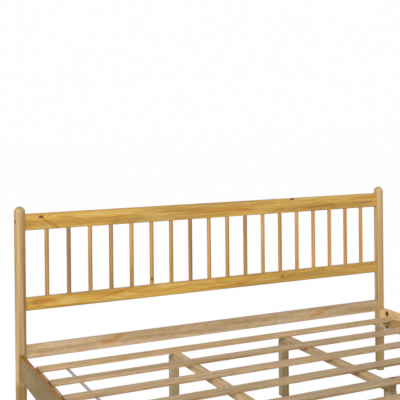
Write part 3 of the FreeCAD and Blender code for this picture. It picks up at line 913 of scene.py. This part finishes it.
# Radius, radius of the head, height of the head and whole length.
SLAT_SCREW = (0.0020, 0.0040, 0.0026, 0.035)
LEDGER_SCREW = (0.0020, 0.0040, 0.0026, 0.050)
LEG_SCREW = (0.0030, 0.0055, 0.0036, 0.090)
LEG_SCREW_HEAD_RADIUS = LEG_SCREW[1]
UPWARD = (0.0, 0.0, 1.0)
DOWNWARD = (0.0, 0.0, -1.0)

slat_middles = [middle_of("slat_%02d" % (index + 1)) for index in range(slat_count)]
slat_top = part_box("slat_01")[1].z
slat_spots = []
for slat_middle in slat_middles:
    for beam in ("head_base_beam_left", "head_base_beam_right"):
        slat_spots.append(((middle_of(beam).x, slat_middle.y, slat_top), UPWARD))
set_out("slat_screws", wood_screw("slat_screw", *SLAT_SCREW), slat_spots,
        yellow_zinc, 11)

LEDGER_SCREW_COUNT = 7
LEDGER_SCREW_SETBACK = 0.060

ledger_spots = []
for ledger, facing in (("ledger_left", 1.0), ("ledger_right", -1.0)):
    low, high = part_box(ledger)
    middle = middle_of(ledger)
    first_y = low.y + LEDGER_SCREW_SETBACK
    step_y = (high.y - low.y - 2 * LEDGER_SCREW_SETBACK) / (LEDGER_SCREW_COUNT - 1)
    face_x = high.x if facing > 0 else low.x
    for index in range(LEDGER_SCREW_COUNT):
        ledger_spots.append(((face_x, first_y + index * step_y, middle.z), (facing, 0.0, 0.0)))
set_out("ledger_screws", wood_screw("ledger_screw", *LEDGER_SCREW),
        ledger_spots, yellow_zinc, 17)

low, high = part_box("leg_screws")
leg_spots = []
for base in ("head_base", "foot_base"):
    for side, screw_x in (("left", low.x + LEG_SCREW_HEAD_RADIUS),
                          ("right", high.x - LEG_SCREW_HEAD_RADIUS)):
        for spot in ("outer", "middle"):
            leg_middle = middle_of(base + "_leg_" + spot + "_" + side)
            leg_spots.append(((screw_x, leg_middle.y, high.z), UPWARD))
set_out("leg_screws", wood_screw("leg_screw", *LEG_SCREW), leg_spots,
        yellow_zinc, 23)

TACK_LENGTH = 0.008
TACK_POINT = 0.0018
TACK_PIN_RADIUS = 0.0008
TACK_HEAD_RADIUS = 0.0030
TACK_HEAD_HEIGHT = 0.0008

tack_outline = [
    ("round", 0, -TACK_LENGTH),
    ("round", TACK_PIN_RADIUS, -TACK_LENGTH + TACK_POINT),
    ("round", TACK_PIN_RADIUS, -TACK_HEAD_HEIGHT),
    ("round", TACK_HEAD_RADIUS, -TACK_HEAD_HEIGHT),
    ("round", 0.0028, -0.0005),
    ("round", 0.0018, -0.0001),
    ("round", 0, 0.0),
]
tack_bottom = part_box("strap_tacks")[0].z
tack_spots = []
for slat_middle in slat_middles:
    for strap in ("slat_strap_left", "slat_strap_right"):
        tack_spots.append(((middle_of(strap).x, slat_middle.y, tack_bottom), DOWNWARD))
set_out("strap_tacks", turned("strap_tack", tack_outline), tack_spots, zinc, 29)


# ---- floor, light and camera -------------------------------------------------------
# A plain white floor that fades into a white background, one broad soft lamp high
# on the left, a weaker one on the right and an even sky.

FLOOR_REACH = 60.0
FLOOR_GREY = 0.85
FLOOR_ROUGHNESS = 0.9
FLOOR_GLOW = 1.012
FLOOR_GLOW_SHARE = 0.96
SKY_LIGHT = 0.52
SKY_SEEN = 0.992
WHITE = (1.0, 1.0, 1.0)

floor_mesh = bpy.data.meshes.new("floor")
floor_form = bmesh.new()
bmesh.ops.create_grid(floor_form, x_segments=1, y_segments=1, size=FLOOR_REACH)
floor_form.to_mesh(floor_mesh)
floor_form.free()
floor = bpy.data.objects.new("floor", floor_mesh)
bpy.context.scene.collection.objects.link(floor)
floor_finish, floor_shader = new_finish("studio_floor")
floor_shader.inputs["Base Color"].default_value = (FLOOR_GREY, FLOOR_GREY, FLOOR_GREY, 1.0)
floor_shader.inputs["Roughness"].default_value = FLOOR_ROUGHNESS
floor_tree = floor_finish.node_tree
seen = add_node(floor_tree, "ShaderNodeLightPath", output=0)
glow = add_node(floor_tree, "ShaderNodeEmission", None, {"Color": WHITE, "Strength": FLOOR_GLOW})
floor_mix = add_node(floor_tree, "ShaderNodeMixShader", None,
                     {0: seen * FLOOR_GLOW_SHARE, 1: Wire(floor_shader.outputs[0]), 2: glow})
floor_tree.links.new(floor_mix.socket, floor_tree.nodes["Material Output"].inputs["Surface"])
floor_mesh.materials.append(floor_finish)

world = bpy.data.worlds.new("studio")
world.use_nodes = True
bpy.context.scene.world = world
sky = world.node_tree.nodes["Background"]
path = add_node(world.node_tree, "ShaderNodeLightPath", output=0)
glossy = Wire(path.socket.node.outputs["Is Glossy Ray"])
clear = Wire(path.socket.node.outputs["Is Transmission Ray"])
backdrop = path.math("MAXIMUM", glossy).math("MAXIMUM", clear)
sky_strength = backdrop.ramp(0.0, 1.0, SKY_LIGHT, SKY_SEEN)
world.node_tree.links.new(sky_strength.socket, sky.inputs["Strength"])
sky.inputs["Color"].default_value = (*WHITE, 1.0)


def lamp(name, place, target, size, power, colour):
    """Square soft lamp at a place, turned towards its target."""
    light = bpy.data.lights.new(name, "AREA")
    light.shape = "SQUARE"
    light.size = size
    light.energy = power
    light.color = colour
    holder = bpy.data.objects.new(name, light)
    holder.location = place
    holder.rotation_euler = (Vector(target) - Vector(place)).to_track_quat("-Z", "Y").to_euler()
    bpy.context.scene.collection.objects.link(holder)


lamp("key_lamp", place=(-3.8, -2.2, 3.2), target=(0.0, 0.4, 0.4), size=2.6, power=200.0,
     colour=(1.0, 0.98, 0.95))
lamp("fill_lamp", place=(3.8, -3.2, 3.0), target=(0.0, 0.0, 0.4), size=3.0, power=45.0,
     colour=(0.96, 0.98, 1.0))

# The camera stands beyond the foot and to its left, higher than the headboard, and
# looks level, with the frame shifted down. Places are in metres, angles in radians.
CAMERA_PLACE = Vector((-1.8171, -2.5837, 1.4034))
CAMERA_YAW = 0.4427
CAMERA_PITCH = 0.0019
CAMERA_ROLL = 0.0099
SENSOR_WIDTH = 36.0
VIEW_REACH = 200.0
FOCAL_PIXELS = 807.56
EYE_LEVEL_ROW = 119.98
FRAME_PIXELS = 400.0

camera_data = bpy.data.cameras.new("photo_view")
camera_data.sensor_width = SENSOR_WIDTH
camera_data.lens = FOCAL_PIXELS * SENSOR_WIDTH / FRAME_PIXELS
camera_data.shift_y = (EYE_LEVEL_ROW - FRAME_PIXELS / 2) / FRAME_PIXELS
camera_data.clip_end = VIEW_REACH
camera = bpy.data.objects.new("photo_view", camera_data)
camera.matrix_world = (
    Matrix.Translation(CAMERA_PLACE)
    @ Matrix.Rotation(-CAMERA_YAW, 4, "Z")
    @ Matrix.Rotation(math.pi / 2 - CAMERA_PITCH, 4, "X")
    @ Matrix.Rotation(-CAMERA_ROLL, 4, "Z")
)
bpy.context.scene.collection.objects.link(camera)
bpy.context.scene.camera = camera
bpy.context.scene.view_settings.view_transform = "Standard"
